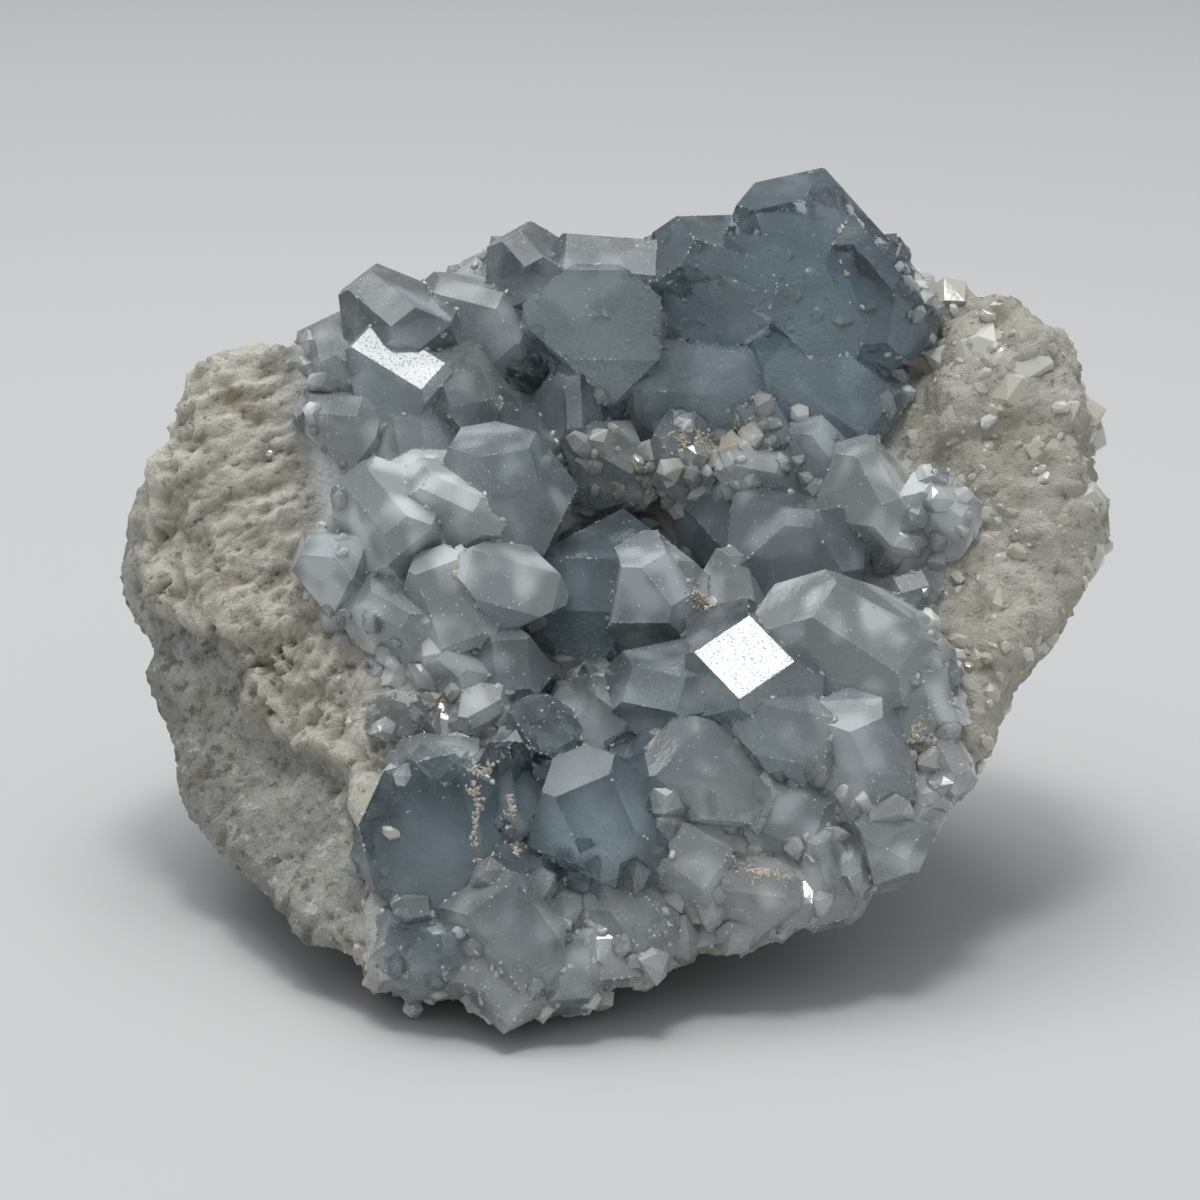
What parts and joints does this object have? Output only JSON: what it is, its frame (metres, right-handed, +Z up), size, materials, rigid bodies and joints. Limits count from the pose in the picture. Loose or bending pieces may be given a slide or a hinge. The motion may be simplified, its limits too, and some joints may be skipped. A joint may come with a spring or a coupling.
{
  "type": "celestite geode",
  "caption": "Broken piece of a limestone nodule whose leaning hollow is lined with pale blue, translucent celestite crystals. A mineral specimen for display.",
  "frame": {"origin": "on the table, under the middle of the piece's box", "axes": "+X to the right along the longest extent, -Y towards the viewer and the low front edge of the crystal bed, +Z up"},
  "size_m": [0.0834, 0.0694, 0.0596],
  "materials": {
    "matrix": "rough broken limestone, dry and sandy",
    "crystal": "translucent grey-blue crystal, flat faces with a dusty gloss"
  },
  "bodies": {
    "root": {"matrix": "matrix", "crystal_crust": "crystal"}
  },
  "joints": []
}
